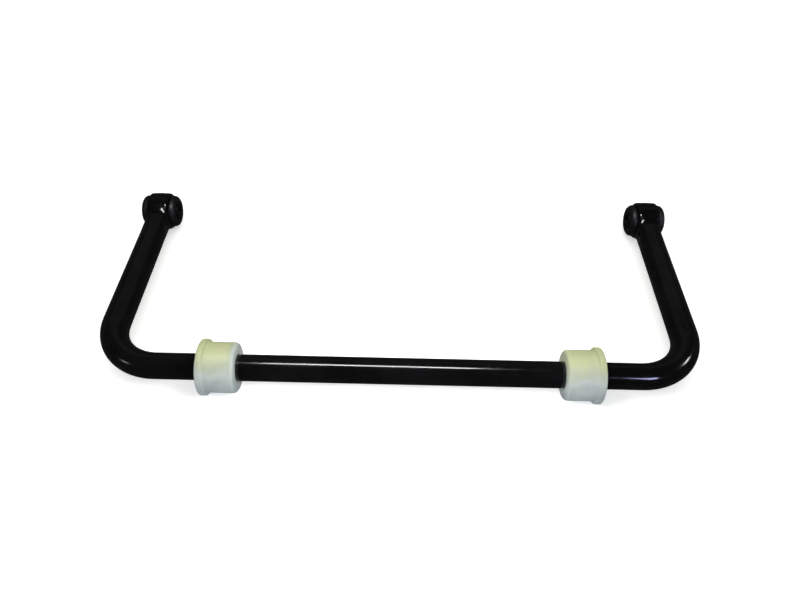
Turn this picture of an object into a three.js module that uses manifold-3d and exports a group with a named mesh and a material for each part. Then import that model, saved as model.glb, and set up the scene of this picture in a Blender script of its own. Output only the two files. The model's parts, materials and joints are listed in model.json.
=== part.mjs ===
// Heavy-duty sway bar: a round spring-steel bar bent to a wide U, with a forged eye on each arm.
// Each eye holds a bonded rubber bushing, and two flanged nylon bushings sit on the straight part.
// Millimetres. +X runs along the straight part, +Y from it towards the eyes, +Z up.
// The origin is on the ground, under the middle of the part's box: the part lies on the two nylon
// flanges and on the two eyes.

import * as THREE from 'three';
import { mergeVertices } from 'three/addons/utils/BufferGeometryUtils.js';
import Module from 'manifold-3d';

// Bar. The arms are a little thicker than the straight part, and the bends lead from one to the other.
const BAR_RADIUS = 22.5;
const ARM_RADIUS = 24;
const ARM_SPACING = 1000;
const ARM_LENGTH = 397;
const BEND_RADIUS = 93;
const MID_GAP = 0.3;

// Forged eye at the end of each arm. Neck and cheek lengths are measured from the eye's centre.
const EYE_RADIUS = 37;
const EYE_WIDTH = 42;
const EYE_EDGE_RADIUS = 5;
const NECK_START = 46;
const NECK_START_RADIUS = 22.5;
const NECK_BOW = 32;
const NECK_BOW_RADIUS = 23.5;
const NECK_END = 16;
const NECK_END_RADIUS = 31;
const CHEEK_START = 72;
const CHEEK_BOW = 52;
const CHEEK_STEP = 0.5;
const CHEEK_REACH = 100;

// Bonded bushing in the eye
const CAN_RADIUS = 28;
const CAN_WALL = 2;
const CAN_LENGTH = 43;
const LIP_RADIUS = 32;
const LIP_EDGE_RADIUS = 9;
const RUBBER_LENGTH = 69;
const RUBBER_DISH = 2.5;
const SLEEVE_RADIUS = 15;
const SLEEVE_BORE_RADIUS = 10.25;
const SLEEVE_LENGTH = 71;
const SLEEVE_CHAMFER = 1;

// Nylon pivot bushing. Until they are clamped, the two sit where they were left along the bar.
const LEFT_PIVOT_X = -297.5;
const RIGHT_PIVOT_X = 306;
const PIVOT_LENGTH = 61;
const PIVOT_RADIUS = 42.5;
const PIVOT_EDGE_RADIUS = 5;
const FLANGE_RADIUS = 47.5;
const FLANGE_WIDTH = 11;
const FLANGE_EDGE_RADIUS = 2;
const SLIT_WIDTH = 2.4;
const SLIT_ANGLE = THREE.MathUtils.degToRad(-40);

// Air gap between two pieces that touch on the real part
const FIT_GAP = 0.3;

// Facets round a full turn
const BAR_SIDES = 40;
const EYE_SIDES = 48;
const BEND_STEPS = 12;
const EDGE_STEPS = 3;
const NECK_STEPS = 7;
const CHEEK_STEPS = 5;

const half = ARM_SPACING / 2;
const pivotBore = BAR_RADIUS + FIT_GAP;

// The arms slope down a little, because the eyes are smaller than the nylon flanges.
const armSlope = Math.asin((FLANGE_RADIUS - EYE_RADIUS) / ARM_LENGTH);
const frontReach = FLANGE_RADIUS;
const rearReach = ARM_LENGTH * Math.cos(armSlope) + EYE_RADIUS;
const barAxisY = (frontReach - rearReach) / 2;

const wasm = await Module();
wasm.setup();

// A closed three.js geometry as a solid that can be cut and joined.
function solid(geometry) {
  const bare = geometry.index ? geometry.toNonIndexed() : geometry.clone();
  bare.deleteAttribute('normal');
  bare.deleteAttribute('uv');
  const merged = mergeVertices(bare, 1e-4);
  const vertProperties = new Float32Array(merged.attributes.position.array);
  const triVerts = new Uint32Array(merged.index.array);
  return new wasm.Manifold(new wasm.Mesh({ numProp: 3, vertProperties, triVerts }));
}

// A cut or joined solid as a three.js geometry again.
function geometryOf(manifold) {
  const mesh = manifold.getMesh();
  const geometry = new THREE.BufferGeometry();
  geometry.setAttribute('position', new THREE.BufferAttribute(mesh.vertProperties, 3));
  geometry.setIndex(new THREE.BufferAttribute(mesh.triVerts, 1));
  const flat = geometry.toNonIndexed();
  flat.computeVertexNormals();
  return flat;
}

// A mirror image across the middle of the bar, with its faces turned back outwards.
function mirrored(geometry) {
  const image = geometry.clone().scale(-1, 1, 1);
  const position = image.attributes.position;
  for (let first = 0; first < position.count; first += 3) {
    const second = new THREE.Vector3().fromBufferAttribute(position, first + 1);
    const third = new THREE.Vector3().fromBufferAttribute(position, first + 2);
    position.setXYZ(first + 1, third.x, third.y, third.z);
    position.setXYZ(first + 2, second.x, second.y, second.z);
  }
  image.computeVertexNormals();
  return image;
}

// Points of a quarter circle, from one angle to another, in (distance from axis, place along axis).
function roundedCorner(centreR, centreX, radius, fromAngle, toAngle) {
  const points = [];
  for (let step = 0; step <= EDGE_STEPS; step += 1) {
    const angle = fromAngle + ((toAngle - fromAngle) * step) / EDGE_STEPS;
    points.push(new THREE.Vector2(centreR + radius * Math.cos(angle), centreX + radius * Math.sin(angle)));
  }
  return points;
}

// A closed profile turned about the X axis. Points are (distance from axis, place along axis).
function turned(profile, sides) {
  const closed = [...profile, profile[0].clone()];
  const geometry = new THREE.LatheGeometry(closed, sides);
  geometry.rotateZ(-Math.PI / 2);
  return geometry;
}

// A plain tube about the X axis, centred on the origin.
function tube(outer, inner, length, chamfer = 0) {
  const end = length / 2;
  const profile = [new THREE.Vector2(inner, -end), new THREE.Vector2(outer - chamfer, -end)];
  if (chamfer > 0) {
    profile.push(new THREE.Vector2(outer, -end + chamfer));
    profile.push(new THREE.Vector2(outer, end - chamfer));
  }
  profile.push(new THREE.Vector2(outer - chamfer, end));
  profile.push(new THREE.Vector2(inner, end));
  return turned(profile, EYE_SIDES);
}

// The centre line of one half of the bar: from mid length to the bend, round it, and out to the
// eye. Its stations are the two straight ends and even steps round the bend.
class HalfBarPath extends THREE.Curve {
  constructor() {
    super();
    const bendStart = half - BEND_RADIUS;
    this.stations = [{ at: new THREE.Vector3(MID_GAP / 2, 0, 0), angle: 0 }];
    for (let step = 0; step <= BEND_STEPS; step += 1) {
      const angle = ((Math.PI / 2) * step) / BEND_STEPS;
      const x = bendStart + BEND_RADIUS * Math.sin(angle);
      const y = BEND_RADIUS * (1 - Math.cos(angle));
      this.stations.push({ at: new THREE.Vector3(x, y, 0), angle });
    }
    this.stations.push({ at: new THREE.Vector3(half, ARM_LENGTH, 0), angle: Math.PI / 2 });
  }

  station(u) {
    return this.stations[Math.round(u * (this.stations.length - 1))];
  }

  getPointAt(u) {
    return this.station(u).at.clone();
  }

  getTangentAt(u) {
    const { angle } = this.station(u);
    return new THREE.Vector3(Math.cos(angle), Math.sin(angle), 0);
  }
}

// Moves the skin of the bar out from its centre line, from nothing at the bend's start to the arm's
// full thickness at the bend's end.
function thickenArm(geometry) {
  const bendStart = half - BEND_RADIUS;
  const growth = ARM_RADIUS / BAR_RADIUS - 1;
  const position = geometry.attributes.position;
  for (let index = 0; index < position.count; index += 1) {
    const point = new THREE.Vector3().fromBufferAttribute(position, index);
    const centre = new THREE.Vector3(half, point.y, 0);
    let share = 1;
    if (point.y < BEND_RADIUS) {
      const angle = Math.max(0, Math.atan2(point.x - bendStart, BEND_RADIUS - point.y));
      centre.set(bendStart + BEND_RADIUS * Math.sin(angle), BEND_RADIUS * (1 - Math.cos(angle)), 0);
      share = angle / (Math.PI / 2);
    }
    if (share > 0) point.add(point.clone().sub(centre).multiplyScalar(growth * share));
    position.setXYZ(index, point.x, point.y, point.z);
  }
  return geometry;
}

// The round bar along one half of the U.
function barTube() {
  const section = new THREE.Shape();
  for (let side = 0; side < BAR_SIDES; side += 1) {
    const angle = (2 * Math.PI * side) / BAR_SIDES;
    const x = BAR_RADIUS * Math.cos(angle);
    const y = BAR_RADIUS * Math.sin(angle);
    if (side === 0) section.moveTo(x, y);
    else section.lineTo(x, y);
  }
  section.closePath();
  const path = new HalfBarPath();
  return thickenArm(new THREE.ExtrudeGeometry(section, { steps: path.stations.length - 1, extrudePath: path }));
}

// The ring of the eye, with its rounded outer edges, about the X axis.
function eyeRing() {
  const edge = EYE_WIDTH / 2 - EYE_EDGE_RADIUS;
  const rim = EYE_RADIUS - EYE_EDGE_RADIUS;
  const inner = CAN_RADIUS + FIT_GAP;
  const profile = [
    new THREE.Vector2(inner, -EYE_WIDTH / 2),
    ...roundedCorner(rim, -edge, EYE_EDGE_RADIUS, -Math.PI / 2, 0),
    ...roundedCorner(rim, edge, EYE_EDGE_RADIUS, 0, Math.PI / 2),
    new THREE.Vector2(inner, EYE_WIDTH / 2),
  ];
  return turned(profile, EYE_SIDES);
}

// The forged neck: a flare about the arm's axis that grows out of the bar and runs into the ring.
function neck() {
  const start = new THREE.Vector2(NECK_START_RADIUS, -NECK_START);
  const bow = new THREE.Vector2(NECK_BOW_RADIUS, -NECK_BOW);
  const end = new THREE.Vector2(NECK_END_RADIUS, -NECK_END);
  const flare = new THREE.QuadraticBezierCurve(start, bow, end).getPoints(NECK_STEPS);
  const profile = [new THREE.Vector2(0, -NECK_START), ...flare, new THREE.Vector2(0, -NECK_END)];
  return new THREE.LatheGeometry(profile, BAR_SIDES);
}

// What the forging dies press flat on one side of the neck: seen from above, the neck narrows from
// the arm's thickness to the width of the ring.
function cheek() {
  const inner = EYE_WIDTH / 2 - CHEEK_STEP;
  const outline = new THREE.Shape();
  outline.moveTo(inner, CHEEK_REACH);
  outline.lineTo(inner, -EYE_RADIUS);
  outline.quadraticCurveTo(inner, -CHEEK_BOW, ARM_RADIUS, -CHEEK_START);
  outline.lineTo(CHEEK_REACH, -CHEEK_START);
  outline.lineTo(CHEEK_REACH, CHEEK_REACH);
  outline.closePath();
  const depth = 2 * CHEEK_REACH;
  const geometry = new THREE.ExtrudeGeometry(outline, { depth, bevelEnabled: false, curveSegments: CHEEK_STEPS });
  return geometry.translate(0, 0, -CHEEK_REACH);
}

// One half of the bar with its eye, for the +X side.
function halfBar() {
  const outerCheek = cheek();
  const innerCheek = mirrored(outerCheek);
  const ring = solid(eyeRing().translate(half, ARM_LENGTH, 0));
  const arm = solid(barTube())
    .add(solid(neck().translate(half, ARM_LENGTH, 0)))
    .subtract(solid(outerCheek.translate(half, ARM_LENGTH, 0)))
    .subtract(solid(innerCheek.translate(half, ARM_LENGTH, 0)));
  const joined = arm.add(ring);
  const hole = new THREE.CylinderGeometry(CAN_RADIUS + FIT_GAP, CAN_RADIUS + FIT_GAP, 2 * EYE_WIDTH, EYE_SIDES);
  hole.rotateZ(-Math.PI / 2);
  hole.translate(half, ARM_LENGTH, 0);
  return geometryOf(joined.subtract(solid(hole)));
}

// Rubber bonded between can and inner sleeve, with a round lip outside each end of the can.
function eyeRubber() {
  const core = CAN_RADIUS - CAN_WALL - FIT_GAP;
  const lipStart = CAN_LENGTH / 2 + FIT_GAP;
  const end = RUBBER_LENGTH / 2;
  const bore = SLEEVE_RADIUS + FIT_GAP;
  const lipCentreR = LIP_RADIUS - LIP_EDGE_RADIUS;
  const lipCentreX = end - LIP_EDGE_RADIUS;
  const rightHalf = [
    new THREE.Vector2(core, lipStart),
    new THREE.Vector2(LIP_RADIUS, lipStart),
    ...roundedCorner(lipCentreR, lipCentreX, LIP_EDGE_RADIUS, 0, Math.PI / 2),
    new THREE.Vector2(bore, end - RUBBER_DISH),
  ];
  const leftHalf = rightHalf.map((p) => new THREE.Vector2(p.x, -p.y)).reverse();
  return turned([...leftHalf, ...rightHalf], EYE_SIDES);
}

// Flanged nylon bushing, flange on the +X side, slit so that it can be opened over the bar.
function pivotBushing() {
  const end = PIVOT_LENGTH / 2;
  const flangeStart = end - FLANGE_WIDTH;
  const profile = [
    new THREE.Vector2(pivotBore, -end),
    ...roundedCorner(PIVOT_RADIUS - PIVOT_EDGE_RADIUS, -end + PIVOT_EDGE_RADIUS, PIVOT_EDGE_RADIUS, -Math.PI / 2, 0),
    new THREE.Vector2(PIVOT_RADIUS, flangeStart),
    new THREE.Vector2(FLANGE_RADIUS, flangeStart),
    ...roundedCorner(FLANGE_RADIUS - FLANGE_EDGE_RADIUS, end - FLANGE_EDGE_RADIUS, FLANGE_EDGE_RADIUS, 0, Math.PI / 2),
    new THREE.Vector2(pivotBore, end),
  ];
  const slit = new THREE.BoxGeometry(2 * PIVOT_LENGTH, 2 * FLANGE_RADIUS, SLIT_WIDTH);
  slit.translate(0, FLANGE_RADIUS, 0);
  slit.rotateX(SLIT_ANGLE);
  return geometryOf(solid(turned(profile, EYE_SIDES)).subtract(solid(slit)));
}

const paintedSteel = { color: 0x0b0b0d, roughness: 0.28, metalness: 0.1 };
const coatedSteel = { color: 0x1a1b1d, roughness: 0.45, metalness: 0.6 };
const sleeveSteel = { color: 0x2b2c2e, roughness: 0.5, metalness: 0.9 };
const rubber = { color: 0x161617, roughness: 0.75, metalness: 0 };
const nylon = { color: 0xced0b4, roughness: 0.45, metalness: 0 };

const swayBar = new THREE.Group();
swayBar.position.set(0, barAxisY, FLANGE_RADIUS);
swayBar.rotation.x = -armSlope;

function place(name, geometry, finish, x, y) {
  const mesh = new THREE.Mesh(geometry, new THREE.MeshStandardMaterial(finish));
  mesh.name = name;
  mesh.position.set(x, y, 0);
  swayBar.add(mesh);
}

const rightBar = halfBar();
const rightPivot = pivotBushing();
place('bar_left_half', mirrored(rightBar), paintedSteel, 0, 0);
place('bar_right_half', rightBar, paintedSteel, 0, 0);
place('left_pivot_bushing', mirrored(rightPivot), nylon, LEFT_PIVOT_X, 0);
place('right_pivot_bushing', rightPivot, nylon, RIGHT_PIVOT_X, 0);

for (const [side, x] of [['left', -half], ['right', half]]) {
  place(`${side}_eye_can`, tube(CAN_RADIUS, CAN_RADIUS - CAN_WALL, CAN_LENGTH), coatedSteel, x, ARM_LENGTH);
  place(`${side}_eye_rubber`, eyeRubber(), rubber, x, ARM_LENGTH);
  const sleeve = tube(SLEEVE_RADIUS, SLEEVE_BORE_RADIUS, SLEEVE_LENGTH, SLEEVE_CHAMFER);
  place(`${side}_inner_sleeve`, sleeve, sleeveSteel, x, ARM_LENGTH);
}

export default swayBar;
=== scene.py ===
"""Heavy-duty sway bar with nylon pivot bushings and rubber eye bushings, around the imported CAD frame."""

import json
import math

import bmesh
import bpy
import numpy as np
from mathutils import Euler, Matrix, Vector


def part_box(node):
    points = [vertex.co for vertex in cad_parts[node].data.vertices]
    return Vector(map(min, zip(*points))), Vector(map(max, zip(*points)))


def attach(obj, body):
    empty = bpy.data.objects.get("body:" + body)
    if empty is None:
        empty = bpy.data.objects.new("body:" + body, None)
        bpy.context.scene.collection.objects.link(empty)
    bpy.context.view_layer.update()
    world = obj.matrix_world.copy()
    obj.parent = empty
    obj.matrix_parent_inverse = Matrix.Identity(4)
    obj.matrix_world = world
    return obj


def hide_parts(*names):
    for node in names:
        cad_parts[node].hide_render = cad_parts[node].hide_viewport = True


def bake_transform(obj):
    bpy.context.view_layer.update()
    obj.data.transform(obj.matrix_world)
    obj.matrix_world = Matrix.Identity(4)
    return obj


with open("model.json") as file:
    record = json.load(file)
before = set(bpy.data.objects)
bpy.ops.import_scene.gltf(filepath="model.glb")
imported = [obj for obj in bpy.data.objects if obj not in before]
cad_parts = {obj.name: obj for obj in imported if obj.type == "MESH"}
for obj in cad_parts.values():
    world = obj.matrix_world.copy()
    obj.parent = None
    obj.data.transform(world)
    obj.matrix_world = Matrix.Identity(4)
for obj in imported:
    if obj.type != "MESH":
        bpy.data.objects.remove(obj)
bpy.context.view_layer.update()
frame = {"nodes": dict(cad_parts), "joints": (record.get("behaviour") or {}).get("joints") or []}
joints = {j["name"]: j for j in frame["joints"]}

# ---------------------------------------------------------------------------------------------
# The bar. One length of round spring steel, bent hot to a U. Each end is pressed to an eye in
# forging dies and pierced, then all of it is quenched, shot-peened and sprayed black. It is one
# piece, so it is one mesh. In use the real bar twists between its two bends as the arms swing apart.
# ---------------------------------------------------------------------------------------------
MM = 0.001
QUARTER = math.pi / 2
BAR_RADIUS = 22.5 * MM
ARM_RADIUS = 24 * MM
BEND_RADIUS = 93 * MM
bar_middle = Vector(joints["bar_twist"]["pos_m"])
right_eye = Vector(joints["right_sleeve_twist"]["pos_m"])
half_spacing = right_eye.x
arm = right_eye - Vector((half_spacing, bar_middle.y, bar_middle.z))
arm_length = arm.length
arm_along = arm.normalized()
arm_up = Vector((1, 0, 0)).cross(arm_along)

BAR_COLUMNS = 144
STRAIGHT_ROWS = 28
BEND_ROWS = 32
ARM_ROWS = 8

# The eye, measured from its centre. The dies part in the eye's middle plane, where they leave a
# thin raised line, and the ring falls away from that line on both sides so that it leaves the die.
# The fillet between neck and ring is deeper over the crown. Extra columns of points carry the line.
PARTING_HEIGHT = 0.15 * MM
PARTING_WIDTH = 1.4 * MM
PARTING_COLUMNS = [math.radians(side * turn) for side in (-1, 1) for turn in (0.6, 1.3, 2.0, 3.2)]
DRAFT = math.tan(math.radians(1.2))
EYE_RADIUS = right_eye.z - PARTING_HEIGHT
EYE_HALF_WIDTH = 21 * MM
EYE_EDGE = 5 * MM
EYE_BORE = 28.2 * MM
NECK_START = 82 * MM
NECK_END = 38 * MM
NECK_HALF_WIDTH = 20.5 * MM
NECK_EDGE = 15 * MM
NECK_FILLET = 9 * MM
CROWN_FILLET = 12.8 * MM
CROWN_HALF_WIDTH = 12 * MM
NECK_ROW_STEP = 2 * MM
EYE_ROW_STEP = math.radians(1.6)
CAST_STEPS = 36


def smooth(t):
    t = np.clip(t, 0, 1)
    return t * t * (3 - 2 * t)


def rounded(across, along, edge):
    """Distance to a corner of radius edge, whose straight sides lie at across = 0 and along = 0."""
    across = across + edge
    along = along + edge
    outside = np.hypot(np.maximum(across, 0), np.maximum(along, 0))
    return outside + np.minimum(np.maximum(across, along), 0) - edge


def forging(x, y, z):
    """Below zero inside the eye and its neck. x along the bore, y out along the arm, z across."""
    pressed = smooth((y + NECK_START) / (NECK_START - NECK_END))
    half_width = ARM_RADIUS + (NECK_HALF_WIDTH - ARM_RADIUS) * pressed
    edge = ARM_RADIUS + (NECK_EDGE - ARM_RADIUS) * pressed
    neck = rounded(np.hypot(np.maximum(y, 0), z) - ARM_RADIUS, np.abs(x) - half_width, edge)
    ring = rounded(np.hypot(y, z) - EYE_RADIUS + DRAFT * np.abs(x), np.abs(x) - EYE_HALF_WIDTH, EYE_EDGE)
    fillet = NECK_FILLET + (CROWN_FILLET - NECK_FILLET) * np.exp(-((x / CROWN_HALF_WIDTH) ** 2))
    share = np.clip(0.5 + 0.5 * (ring - neck) / fillet, 0, 1)
    joined = ring + (neck - ring) * share - fillet * share * (1 - share)
    return joined - PARTING_HEIGHT * pressed * np.exp(-((x / PARTING_WIDTH) ** 2))


def cast_to_forging(direction):
    """Points of the forging's skin, straight out from the eye's centre."""
    near = np.full(direction.shape[0], EYE_EDGE)
    far = np.full(direction.shape[0], NECK_START + BAR_RADIUS)
    for _ in range(CAST_STEPS):
        middle = (near + far) / 2
        outside = forging(*(direction * middle[:, None]).T) > 0
        far = np.where(outside, middle, far)
        near = np.where(outside, near, middle)
    return direction * near[:, None]


columns = [2 * math.pi * i / BAR_COLUMNS for i in range(BAR_COLUMNS)]
columns += [quarter + offset for quarter in (QUARTER, 3 * QUARTER) for offset in PARTING_COLUMNS]
columns = np.array(sorted(columns))
around = np.stack([np.cos(columns), np.sin(columns)], 1)


def round_row(x, y, angle, radius):
    """One row of points round the bar. angle is how far the bar has turned towards the arm."""
    outward = np.array([math.sin(angle), -math.cos(angle), 0])
    points = np.array([x, y, 0]) + radius * around[:, :1] * outward
    points[:, 2] = radius * around[:, 1]
    return points


def half_bar_rows():
    """Rows of points from mid length to the eye's far end, in the bar's own plane."""
    rows = []
    bend_x = half_spacing - BEND_RADIUS
    for i in range(STRAIGHT_ROWS):
        rows.append(round_row(bend_x * i / STRAIGHT_ROWS, 0, 0, BAR_RADIUS))
    for i in range(BEND_ROWS + 1):
        share = i / BEND_ROWS
        angle = QUARTER * share
        x = bend_x + BEND_RADIUS * math.sin(angle)
        y = BEND_RADIUS * (1 - math.cos(angle))
        rows.append(round_row(x, y, angle, BAR_RADIUS + (ARM_RADIUS - BAR_RADIUS) * share))
    neck_y = arm_length - NECK_START
    for i in range(1, ARM_ROWS):
        y = BEND_RADIUS + (neck_y - BEND_RADIUS) * i / ARM_ROWS
        rows.append(round_row(half_spacing, y, QUARTER, ARM_RADIUS))
    eye_at = np.array([half_spacing, arm_length, 0])
    angles = [math.atan2(ARM_RADIUS, reach) for reach in np.arange(NECK_START, NECK_END, -NECK_ROW_STEP)]
    angles += list(np.arange(angles[-1] + EYE_ROW_STEP, math.pi - EYE_ROW_STEP / 2, EYE_ROW_STEP))
    for angle in angles:
        direction = np.empty((len(columns), 3))
        direction[:, 0] = math.sin(angle) * around[:, 0]
        direction[:, 1] = -math.cos(angle)
        direction[:, 2] = math.sin(angle) * around[:, 1]
        rows.append(eye_at + cast_to_forging(direction))
    tip = eye_at + cast_to_forging(np.array([[0.0, 1.0, 0.0]]))[0]
    return rows, tip


def in_frame(points):
    """From the bar's own plane to the part's frame, where the arms slope down to the eyes."""
    sideways = points[:, :1] * np.array([1, 0, 0])
    along = points[:, 1:2] * np.array(arm_along)
    upward = points[:, 2:3] * np.array(arm_up)
    return np.array(bar_middle) + sideways + along + upward


def new_piece(name, points, faces):
    mesh = bpy.data.meshes.new(name)
    mesh.from_pydata([tuple(p) for p in points], [], faces)
    mesh.validate()
    piece = bpy.data.objects.new(name, mesh)
    bpy.context.scene.collection.objects.link(piece)
    return piece


HARD_EDGE = math.radians(38)


def finish_mesh(piece):
    """Faces turned outwards, smooth shading, and hard edges where the surface really turns."""
    work = bmesh.new()
    work.from_mesh(piece.data)
    bmesh.ops.recalc_face_normals(work, faces=work.faces)
    work.to_mesh(piece.data)
    work.free()
    piece.data.shade_smooth()
    piece.data.set_sharp_from_angle(angle=HARD_EDGE)


def ring_faces(rows, row_length, closed=True):
    """Quads between rows of points. closed joins the last row to the first again."""
    faces = []
    for r in range(rows if closed else rows - 1):
        here = r * row_length
        there = (r + 1) % rows * row_length
        for c in range(row_length):
            n = (c + 1) % row_length
            faces.append((here + c, here + n, there + n, there + c))
    return faces


BORE_SIDES = 128


def pierce(piece, centre, radius, half_length):
    """A round hole along X, as the punch leaves it."""
    points = []
    for end in (-1, 1):
        for i in range(BORE_SIDES):
            angle = 2 * math.pi * i / BORE_SIDES
            rim = Vector((end * half_length, radius * math.cos(angle), radius * math.sin(angle)))
            points.append(centre + rim)
    faces = ring_faces(2, BORE_SIDES, closed=False)
    faces += [tuple(range(BORE_SIDES)), tuple(range(2 * BORE_SIDES - 1, BORE_SIDES - 1, -1))]
    punch = new_piece("punch", points, faces)
    finish_mesh(punch)
    hole = piece.modifiers.new("bore", "BOOLEAN")
    hole.operation = "DIFFERENCE"
    hole.solver = "EXACT"
    hole.object = punch
    pierced = piece.evaluated_get(bpy.context.evaluated_depsgraph_get())
    mesh = bpy.data.meshes.new_from_object(pierced)
    piece.modifiers.clear()
    piece.data = mesh
    mesh.name = piece.name
    bpy.data.objects.remove(punch)


half_rows, tip = half_bar_rows()
MIRROR = np.array([-1, 1, 1])
bar_rows = [row * MIRROR for row in reversed(half_rows[1:])] + half_rows
bar_faces = ring_faces(len(bar_rows), len(columns), closed=False)
left_tip = len(bar_rows) * len(columns)
right_tip = left_tip + 1
last_row = left_tip - len(columns)
for c in range(len(columns)):
    n = (c + 1) % len(columns)
    bar_faces.append((left_tip, n, c))
    bar_faces.append((right_tip, last_row + c, last_row + n))
bar = new_piece("forged_bar", in_frame(np.concatenate([*bar_rows, [tip * MIRROR], [tip]])), bar_faces)
finish_mesh(bar)
for side in (-1, 1):
    pierce(bar, Vector((side * half_spacing, right_eye.y, right_eye.z)), EYE_BORE, 2 * EYE_HALF_WIDTH)
finish_mesh(bar)


def colour(code):
    """An sRGB hex value as linear red, green, blue and alpha."""
    parts = [int(code[i : i + 2], 16) / 255 for i in (1, 3, 5)]
    return tuple(p / 12.92 if p <= 0.04045 else ((p + 0.055) / 1.055) ** 2.4 for p in parts) + (1,)


def node(tree, kind, settings=None, inputs=None):
    """Adds one node. settings are its own properties, inputs are values or sockets to link."""
    made = tree.nodes.new(kind)
    for name, value in (settings or {}).items():
        setattr(made, name, value)
    for name, value in (inputs or {}).items():
        if isinstance(value, bpy.types.NodeSocket):
            tree.links.new(value, made.inputs[name])
        else:
            made.inputs[name].default_value = value
    return made


def new_material(name):
    """An empty material with its output node, and where its patterns are measured from."""
    material = bpy.data.materials.new(name)
    material.use_nodes = True
    tree = material.node_tree
    tree.nodes.clear()
    output = node(tree, "ShaderNodeOutputMaterial").inputs["Surface"]
    place = node(tree, "ShaderNodeTexCoord").outputs["Object"]
    return material, tree, output, place


# Black enamel, sprayed on peened steel. It flows out to a gloss with a faint orange peel, some
# 3 mm from hill to hill. Handling has left cloudy patches where the gloss is duller and dustier.
# The peening dimples under it are 0.4 mm wide, drawn twice as coarse so that they show.
ORANGE_PEEL = {"Scale": 1 / (3.2 * MM), "Detail": 1.0}
PEENING = {"Scale": 1 / (0.8 * MM), "Detail": 2.0}
HANDLING = {"Scale": 1 / (60 * MM), "Detail": 5.0, "Roughness": 0.62}
ORANGE_PEEL_RELIEF = {"Strength": 0.1, "Distance": 0.05 * MM}
PEENING_RELIEF = {"Strength": 0.18, "Distance": 0.02 * MM}
CLEAN_TO = 0.4
DUSTY_FROM = 0.75
DULLED = {"From Min": 0.42, "From Max": 0.7, "To Min": 0.12, "To Max": 0.2}

enamel, tree, output, place = new_material("black_enamel_on_peened_steel")
handled = node(tree, "ShaderNodeTexNoise", None, {"Vector": place, **HANDLING}).outputs["Fac"]
tint = node(tree, "ShaderNodeValToRGB", None, {"Fac": handled})
tint.color_ramp.elements[0].position = CLEAN_TO
tint.color_ramp.elements[0].color = colour("#040405")
tint.color_ramp.elements[1].position = DUSTY_FROM
tint.color_ramp.elements[1].color = colour("#0b0b0d")
gloss = node(tree, "ShaderNodeMapRange", None, {"Value": handled, **DULLED}).outputs["Result"]
hills = node(tree, "ShaderNodeTexNoise", None, {"Vector": place, **ORANGE_PEEL}).outputs["Fac"]
peel = node(tree, "ShaderNodeBump", None, {"Height": hills, **ORANGE_PEEL_RELIEF}).outputs["Normal"]
pits = node(tree, "ShaderNodeTexNoise", None, {"Vector": place, **PEENING}).outputs["Fac"]
peened = {"Height": pits, "Normal": peel, **PEENING_RELIEF}
skin = node(tree, "ShaderNodeBump", None, peened).outputs["Normal"]
paint = {"Base Color": tint.outputs["Color"], "Roughness": gloss, "IOR": 1.5, "Normal": skin}
tree.links.new(node(tree, "ShaderNodeBsdfPrincipled", None, paint).outputs["BSDF"], output)
bar.data.materials.clear()
bar.data.materials.append(enamel)

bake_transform(bar)
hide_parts("bar_left_half", "bar_right_half")

# ---------------------------------------------------------------------------------------------
# Nylon pivot bushings. Moulded in one shot from natural nylon, with a flange on the outboard side.
# Each is slit from end to end at the back, so that it springs open to pass over the bar, and a
# chassis clamp later holds it shut.
# ---------------------------------------------------------------------------------------------
FIT_GAP = 0.3 * MM
PIVOT_BORE = BAR_RADIUS + FIT_GAP
PIVOT_BODY = 42.5 * MM
PIVOT_FLANGE = bar_middle.z
FLANGE_WIDTH = 11 * MM
BODY_EDGE = 6 * MM
FLANGE_EDGE = 3.5 * MM
BACK_EDGE = 2 * MM
ROOT_EDGE = 2.5 * MM
BORE_EDGE = 1.5 * MM
SLIT_HALF = 1.2 * MM
SLIT_ANGLE = math.radians(-40)
SLIT_EDGE = 0.8 * MM
SLIT_EDGE_TURNS = (0.5, 1.0)
PIVOT_STEPS = 176
CORNER_STEPS = 6


def corner(radius_at, along_at, size, start, stop):
    """A rounded corner, as points of (distance from the axis, place along it)."""
    turns = [start + (stop - start) * i / CORNER_STEPS for i in range(CORNER_STEPS + 1)]
    return [(radius_at + size * math.cos(a), along_at + size * math.sin(a)) for a in turns]


def pivot_profile(half_length):
    inboard = -half_length
    flange_back = half_length - FLANGE_WIDTH
    return [
        *corner(PIVOT_BORE + BORE_EDGE, inboard + BORE_EDGE, BORE_EDGE, -2 * QUARTER, -QUARTER),
        *corner(PIVOT_BODY - BODY_EDGE, inboard + BODY_EDGE, BODY_EDGE, -QUARTER, 0),
        *corner(PIVOT_BODY + ROOT_EDGE, flange_back - ROOT_EDGE, ROOT_EDGE, 2 * QUARTER, QUARTER),
        *corner(PIVOT_FLANGE - BACK_EDGE, flange_back + BACK_EDGE, BACK_EDGE, -QUARTER, 0),
        *corner(PIVOT_FLANGE - FLANGE_EDGE, half_length - FLANGE_EDGE, FLANGE_EDGE, 0, QUARTER),
        *corner(PIVOT_BORE + BORE_EDGE, half_length - BORE_EDGE, BORE_EDGE, QUARTER, 2 * QUARTER),
    ]


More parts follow.
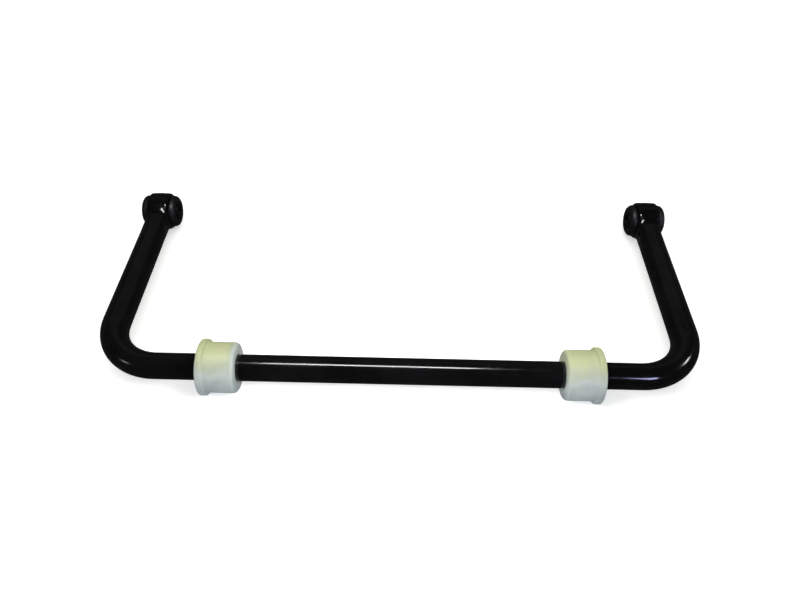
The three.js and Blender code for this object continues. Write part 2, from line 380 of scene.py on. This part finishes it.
def slit_bushing(name, centre, side, half_length):
    """The profile swept round from one lip of the slit to the other, with both lips eased."""
    profile = pivot_profile(half_length)
    middle_radius = sum(radius for radius, _ in profile) / len(profile)
    sweep = [(0.0, SLIT_EDGE)]
    sweep += [(SLIT_EDGE * (1 - math.cos(t)), SLIT_EDGE * (1 - math.sin(t))) for t in SLIT_EDGE_TURNS]
    lip_turn = 2 * SLIT_EDGE / middle_radius
    open_turn = 2 * math.pi - 2 * lip_turn
    # A station is a turn from the first lip, and how far the profile is drawn in there.
    stations = [(turn / middle_radius, inset) for turn, inset in sweep]
    stations += [(lip_turn + open_turn * i / PIVOT_STEPS, 0.0) for i in range(PIVOT_STEPS + 1)]
    stations += [(2 * math.pi - turn, inset) for turn, inset in reversed(stations[: len(sweep)])]
    inner = min(radius for radius, _ in profile)
    outer = max(radius for radius, _ in profile)
    points = []
    for turn, inset in stations:
        for radius, along in profile:
            gap = math.asin(SLIT_HALF / radius)
            angle = SLIT_ANGLE + gap + turn * (2 * math.pi - 2 * gap) / (2 * math.pi)
            eased = min(max(radius, inner + inset), outer - inset)
            end = half_length - inset
            place_along = side * min(max(along, -end), end)
            points.append(centre + Vector((place_along, eased * math.cos(angle), eased * math.sin(angle))))
    faces = ring_faces(len(stations), len(profile), closed=False)
    faces.append(tuple(range(len(profile))))
    faces.append(tuple(range(len(points) - 1, len(points) - 1 - len(profile), -1)))
    piece = new_piece(name, points, faces)
    finish_mesh(piece)
    return piece


# Natural nylon out of a lightly blasted mould: milky, letting light in a few millimetres deep,
# with a satin skin. Its colour turns yellow-green towards the top as painted warm light, with a ragged
# edge to the yellow, and grey underneath as painted shade. The inboard ends keep the milky colour.
MOULD_GRAIN = {"Scale": 1 / (1.2 * MM), "Detail": 3.0}
MOULD_GRAIN_RELIEF = {"Strength": 0.25, "Distance": 0.04 * MM}
CLOUDS = {"Scale": 1 / (26 * MM), "Detail": 3.0}
SATIN = {"From Min": 0.3, "From Max": 0.7, "To Min": 0.38, "To Max": 0.5}
RAGGED = {"From Min": 0.3, "From Max": 0.7, "To Min": -8 * MM, "To Max": 8 * MM}
PAINTED_LIGHT_SPAN = {"From Min": -38 * MM, "From Max": 30 * MM}
# Painted warm light is laid on from this side, up and towards the back; painted shade lies opposite.
PAINTED_WARM_LIGHT_TOWARDS = (0, 0.76, 0.65)
MILKY = 0.42
PAINTED_WARM_LIGHT_FROM = 0.62
left_end = -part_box("left_pivot_bushing")[1].x
right_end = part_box("right_pivot_bushing")[0].x
INBOARD = {"From Min": left_end + 2 * MM, "From Max": right_end + 4.5 * MM, "To Min": MILKY}

nylon, tree, output, place = new_material("natural_nylon_moulded")
offset = node(tree, "ShaderNodeVectorMath", {"operation": "SUBTRACT"}, {0: place, 1: tuple(bar_middle)})
upward = {0: offset.outputs["Vector"], 1: PAINTED_WARM_LIGHT_TOWARDS}
height = node(tree, "ShaderNodeVectorMath", {"operation": "DOT_PRODUCT"}, upward).outputs["Value"]
clouds = node(tree, "ShaderNodeTexNoise", None, {"Vector": place, **CLOUDS}).outputs["Fac"]
shift = node(tree, "ShaderNodeMapRange", None, {"Value": clouds, **RAGGED}).outputs["Result"]
uneven = node(tree, "ShaderNodeMath", {"operation": "ADD"}, {0: height, 1: shift}).outputs["Value"]
shown = node(tree, "ShaderNodeMapRange", None, {"Value": uneven, **PAINTED_LIGHT_SPAN}).outputs["Result"]
along = node(tree, "ShaderNodeSeparateXYZ", None, {"Vector": place}).outputs["X"]
outboard = node(tree, "ShaderNodeMath", {"operation": "ABSOLUTE"}, {0: along}).outputs["Value"]
limit = node(tree, "ShaderNodeMapRange", None, {"Value": outboard, **INBOARD}).outputs["Result"]
# Painted light and shade: low on the underside, high on top, and no higher than the milky colour at the
# inboard ends.
painted_light_and_shade = node(tree, "ShaderNodeMath", {"operation": "MINIMUM"}, {0: shown, 1: limit}).outputs["Value"]
nylon_tone_and_painted_light = node(tree, "ShaderNodeValToRGB", None, {"Fac": painted_light_and_shade})
# Painted shade in grey at the low end, the nylon's own milky colour in the middle, painted warm light in
# yellow-green at the high end.
nylon_tone_and_painted_light.color_ramp.elements[0].color = colour("#8e989a")
nylon_tone_and_painted_light.color_ramp.elements[1].color = colour("#b6bc93")
nylon_tone_and_painted_light.color_ramp.elements.new(MILKY).color = colour("#aeb6b3")
nylon_tone_and_painted_light.color_ramp.elements.new(PAINTED_WARM_LIGHT_FROM).color = colour("#a8af9e")
grains = node(tree, "ShaderNodeTexNoise", None, {"Vector": place, **MOULD_GRAIN}).outputs["Fac"]
grained = {"Height": grains, **MOULD_GRAIN_RELIEF}
plastic = {
    "Base Color": nylon_tone_and_painted_light.outputs["Color"],
    "Roughness": node(tree, "ShaderNodeMapRange", None, {"Value": clouds, **SATIN}).outputs["Result"],
    "IOR": 1.53,
    "Subsurface Weight": 0.35,
    "Subsurface Radius": (1.0, 1.0, 0.75),
    "Subsurface Scale": 4 * MM,
    "Normal": node(tree, "ShaderNodeBump", None, grained).outputs["Normal"],
}
tree.links.new(node(tree, "ShaderNodeBsdfPrincipled", None, plastic).outputs["BSDF"], output)

for side_name, side in (("left", -1), ("right", 1)):
    low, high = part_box(side_name + "_pivot_bushing")
    centre = Vector(joints[side_name + "_pivot_turn"]["pos_m"])
    bushing = slit_bushing(side_name + "_nylon_bushing", centre, side, (high.x - low.x) / 2)
    bushing.data.materials.append(nylon)
    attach(bushing, side_name + "_pivot")
    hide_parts(side_name + "_pivot_bushing")

# ---------------------------------------------------------------------------------------------
# Eye bushings. Rubber is vulcanised between a thin outer can, which is pressed into the eye, and
# the inner sleeve that the link bolt goes through. It swells out of the eye as a round lip.
# ---------------------------------------------------------------------------------------------
LIP_RADIUS = 32 * MM
LIP_EDGE = 9 * MM
LIP_FOOT = 21.8 * MM
LIP_FOOT_EDGE = 2.5 * MM
RUBBER_CORE = 25.7 * MM
RUBBER_DISH = 2.5 * MM
DISH_STEPS = 8
SLEEVE_RADIUS = 15 * MM
SLEEVE_BORE = 10.25 * MM
SLEEVE_EDGE = 1 * MM
MOULD_LINE = 0.35 * MM
MOULD_LINE_WIDTH = 0.7 * MM
TURNED_STEPS = 160


def turned_piece(name, profile, centre):
    """A closed profile turned about the X axis through centre."""
    points = []
    for step in range(TURNED_STEPS):
        angle = 2 * math.pi * step / TURNED_STEPS
        for radius, along in profile:
            points.append(centre + Vector((along, radius * math.cos(angle), radius * math.sin(angle))))
    piece = new_piece(name, points, ring_faces(TURNED_STEPS, len(profile)))
    finish_mesh(piece)
    return piece


def both_ends(end_profile):
    """The profile of the +X end, and its mirror image for the other end."""
    return [(radius, -along) for radius, along in reversed(end_profile)] + end_profile


def rubber_profile(half_length):
    """One lip: a foot against the can, a mould line round its belly, and a dish down to the sleeve."""
    belly = half_length - LIP_EDGE
    top = LIP_RADIUS - MOULD_LINE
    outline = [(RUBBER_CORE, LIP_FOOT)]
    outline += corner(top - LIP_FOOT_EDGE, LIP_FOOT + LIP_FOOT_EDGE, LIP_FOOT_EDGE, -QUARTER, 0)
    mould_line = belly - 2 * MOULD_LINE_WIDTH
    outline += [
        (top, mould_line - MOULD_LINE_WIDTH),
        (LIP_RADIUS, mould_line - MOULD_LINE_WIDTH / 2),
        (LIP_RADIUS, mould_line + MOULD_LINE_WIDTH / 2),
        (top, mould_line + MOULD_LINE_WIDTH),
    ]
    outline += corner(top - LIP_EDGE, belly, LIP_EDGE, 0, QUARTER)
    dish_start = top - LIP_EDGE
    dish_end = SLEEVE_RADIUS + FIT_GAP
    for i in range(1, DISH_STEPS + 1):
        share = i / DISH_STEPS
        radius = dish_start + (dish_end - dish_start) * share
        outline.append((radius, half_length - RUBBER_DISH * float(smooth(share))))
    return both_ends(outline)


def sleeve_profile(half_length):
    face = half_length - SLEEVE_EDGE
    outside = corner(SLEEVE_RADIUS - SLEEVE_EDGE, face, SLEEVE_EDGE, 0, QUARTER)
    bore = corner(SLEEVE_BORE + SLEEVE_EDGE, face, SLEEVE_EDGE, QUARTER, 2 * QUARTER)
    return both_ends(outside + bore)


# Black rubber, moulded. Dull, with a fine grain and a faint grey bloom of wax on its surface.
BLOOM = {"Scale": 1 / (9 * MM), "Detail": 4.0, "Roughness": 0.6}
RUBBER_GRAIN = {"Scale": 1 / (0.9 * MM), "Detail": 3.0}
RUBBER_GRAIN_RELIEF = {"Strength": 0.35, "Distance": 0.06 * MM}
BLACK_TO = 0.4
WAXY_FROM = 0.75

rubber, tree, output, place = new_material("black_rubber_moulded")
bloom = node(tree, "ShaderNodeTexNoise", None, {"Vector": place, **BLOOM}).outputs["Fac"]
black = node(tree, "ShaderNodeValToRGB", None, {"Fac": bloom})
black.color_ramp.elements[0].position = BLACK_TO
black.color_ramp.elements[0].color = colour("#060608")
black.color_ramp.elements[1].position = WAXY_FROM
black.color_ramp.elements[1].color = colour("#121214")
grains = node(tree, "ShaderNodeTexNoise", None, {"Vector": place, **RUBBER_GRAIN}).outputs["Fac"]
grained = {"Height": grains, **RUBBER_GRAIN_RELIEF}
moulded = {
    "Base Color": black.outputs["Color"],
    "Roughness": 0.45,
    "IOR": 1.52,
    "Normal": node(tree, "ShaderNodeBump", None, grained).outputs["Normal"],
}
tree.links.new(node(tree, "ShaderNodeBsdfPrincipled", None, moulded).outputs["BSDF"], output)

# Steel tube, faced in the lathe and phosphated. The crystals leave it nearly black, mottled and
# dull, with a little of the metal's own shine.
MOTTLE = {"Scale": 1 / (4 * MM), "Detail": 3.0}
CRYSTALS = {"Scale": 1 / (0.9 * MM), "Detail": 3.0}
CRYSTALS_RELIEF = {"Strength": 0.3, "Distance": 0.03 * MM}
THIN_TO = 0.3
THICK_FROM = 0.75

phosphate, tree, output, place = new_material("phosphated_steel_turned")
mottle = node(tree, "ShaderNodeTexNoise", None, {"Vector": place, **MOTTLE}).outputs["Fac"]
grey = node(tree, "ShaderNodeValToRGB", None, {"Fac": mottle})
grey.color_ramp.elements[0].position = THIN_TO
grey.color_ramp.elements[0].color = colour("#141416")
grey.color_ramp.elements[1].position = THICK_FROM
grey.color_ramp.elements[1].color = colour("#2a2a2d")
crystals = node(tree, "ShaderNodeTexNoise", None, {"Vector": place, **CRYSTALS}).outputs["Fac"]
crusted = {"Height": crystals, **CRYSTALS_RELIEF}
steel = {
    "Base Color": grey.outputs["Color"],
    "Roughness": 0.5,
    "Metallic": 0.85,
    "Normal": node(tree, "ShaderNodeBump", None, crusted).outputs["Normal"],
}
tree.links.new(node(tree, "ShaderNodeBsdfPrincipled", None, steel).outputs["BSDF"], output)

# Drawn steel can under a thin black coating. Only its rims can show, in the shade of the lips.
coated, tree, output, place = new_material("black_coated_drawn_steel")
mottle = node(tree, "ShaderNodeTexNoise", None, {"Vector": place, **MOTTLE}).outputs["Fac"]
shade = node(tree, "ShaderNodeValToRGB", None, {"Fac": mottle})
shade.color_ramp.elements[0].color = colour("#0c0c0e")
shade.color_ramp.elements[1].color = colour("#18181a")
thin_coat = {"Base Color": shade.outputs["Color"], "Roughness": 0.4, "IOR": 1.5}
tree.links.new(node(tree, "ShaderNodeBsdfPrincipled", None, thin_coat).outputs["BSDF"], output)

for side_name in ("left", "right"):
    centre = Vector(joints[side_name + "_sleeve_twist"]["pos_m"])
    low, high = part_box(side_name + "_eye_rubber")
    lips = turned_piece(side_name + "_rubber_bushing", rubber_profile((high.x - low.x) / 2), centre)
    lips.data.materials.append(rubber)
    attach(lips, side_name + "_half")
    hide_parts(side_name + "_eye_rubber")

    low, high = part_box(side_name + "_inner_sleeve")
    sleeve = turned_piece(side_name + "_bolt_sleeve", sleeve_profile((high.x - low.x) / 2), centre)
    sleeve.data.materials.append(phosphate)
    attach(sleeve, side_name + "_sleeve")
    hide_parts(side_name + "_inner_sleeve")

    can = frame["nodes"][side_name + "_eye_can"]
    can.data.materials.clear()
    can.data.materials.append(coated)

# ---------------------------------------------------------------------------------------------
# Floor. A light table of opal acrylic, lit a little from below so that shadows stay faint. The gloss
# paint does not mirror it, so the bar stays black.
# ---------------------------------------------------------------------------------------------
FLOOR_REACH = 2.4
FLOOR_CORNERS = ((-1, -1), (1, -1), (1, 1), (-1, 1))
TABLE_GLOW = 0.5
corners = [Vector((x * FLOOR_REACH, y * FLOOR_REACH, 0)) for x, y in FLOOR_CORNERS]
floor = new_piece("floor", corners, [(0, 1, 2, 3)])
acrylic, tree, output, _ = new_material("opal_acrylic_light_table")
sheet = {
    "Base Color": colour("#f2f2f2"),
    "Roughness": 0.95,
    "Emission Color": colour("#ffffff"),
    "Emission Strength": TABLE_GLOW,
}
tree.links.new(node(tree, "ShaderNodeBsdfPrincipled", None, sheet).outputs["BSDF"], output)
floor.data.materials.append(acrylic)
floor.visible_glossy = False

# ---------------------------------------------------------------------------------------------
# Light. Three soft lamps give the light on surfaces, and do not show in the paint. What shows
# there is a strip lamp overhead, a dim panel behind, a cool lamp at the front right and a small lamp
# beyond each bend.
# ---------------------------------------------------------------------------------------------
SURROUNDINGS_SEEN = 0.97
SURROUNDINGS_MIRRORED = 0.04

world = bpy.data.worlds.new("studio")
world.use_nodes = True
tree = world.node_tree
tree.nodes.clear()
seen = node(tree, "ShaderNodeLightPath").outputs["Is Camera Ray"]
strength = {"Value": seen, "To Min": SURROUNDINGS_MIRRORED, "To Max": SURROUNDINGS_SEEN}
level = node(tree, "ShaderNodeMapRange", None, strength).outputs["Result"]
haze = {"Color": colour("#ffffff"), "Strength": level}
sky = node(tree, "ShaderNodeBackground", None, haze).outputs["Background"]
tree.links.new(sky, node(tree, "ShaderNodeOutputWorld").inputs["Surface"])
bpy.context.scene.world = world
bpy.context.scene.view_settings.view_transform = "Standard"


def lamp(name, at, towards, size, power, tint="#ffffff", mirrored=True):
    """A soft rectangular lamp. It lights surfaces, or shows in the gloss, but not both."""
    light = bpy.data.lights.new(name, "AREA")
    light.shape = "RECTANGLE"
    light.size, light.size_y = size
    light.energy = power
    light.color = colour(tint)[:3]
    made = bpy.data.objects.new(name, light)
    made.location = at
    made.rotation_euler = (Vector(towards) - Vector(at)).to_track_quat("-Z", "Y").to_euler()
    made.visible_glossy = mirrored
    made.visible_diffuse = not mirrored
    made.visible_camera = False
    bpy.context.scene.collection.objects.link(made)
    return made


lamp("overhead", at=(0, 0.5, 3), towards=(0, 0, 0), size=(6, 6), power=158, tint="#fffef8", mirrored=False)
lamp("front", at=(0, -3, 2), towards=(0, 0, 0), size=(5, 2.5), power=36, tint="#eaf0ff", mirrored=False)
lamp(
    "between",
    at=(0, -0.38, 0.42),
    towards=(0, -0.38, 0),
    size=(0.15, 0.15),
    power=1.9,
    tint="#fffef8",
    mirrored=False,
)
lamp("back_panel", at=(0, 1.0, 1.05), towards=(0, -0.1, 0.05), size=(2.6, 0.5), power=0.3, tint="#f0f0ff")

STRIP_TILT = math.radians(-6.6)
strip = lamp("strip", at=(-0.12, -0.057, 1.5), towards=(-0.12, -0.057, 0), size=(0.82, 0.17), power=13.5)
strip.rotation_euler.z = STRIP_TILT
lamp("cool", at=(1.14, -1.35, 1.0), towards=(0.45, -0.2, 0.06), size=(0.4, 0.3), power=9.5, tint="#c0c4f6")
lamp("left_bend_glint", at=(-1.46, -0.71, 0.6), towards=(-0.45, -0.2, 0.06), size=(0.2, 0.12), power=0.5)
lamp("right_bend_glint", at=(1.34, -0.08, 0.6), towards=(0.48, -0.17, 0.06), size=(0.2, 0.12), power=1.5)

# ---------------------------------------------------------------------------------------------
# Camera. It stands in front of the straight part and looks down into the U, as a person does who
# has laid the bar on the floor.
# ---------------------------------------------------------------------------------------------
CAMERA_AT = Vector((0.0099, -0.8098, 0.9499))
CAMERA_TURN = Euler((math.radians(40.60), math.radians(-0.45), math.radians(1.25)), "XYZ")
SENSOR_WIDTH = 36
LENS = 29.25

view = bpy.data.cameras.new("camera")
view.sensor_width = SENSOR_WIDTH
view.lens = LENS
camera = bpy.data.objects.new("camera", view)
camera.location = CAMERA_AT
camera.rotation_euler = CAMERA_TURN
bpy.context.scene.collection.objects.link(camera)
bpy.context.scene.camera = camera
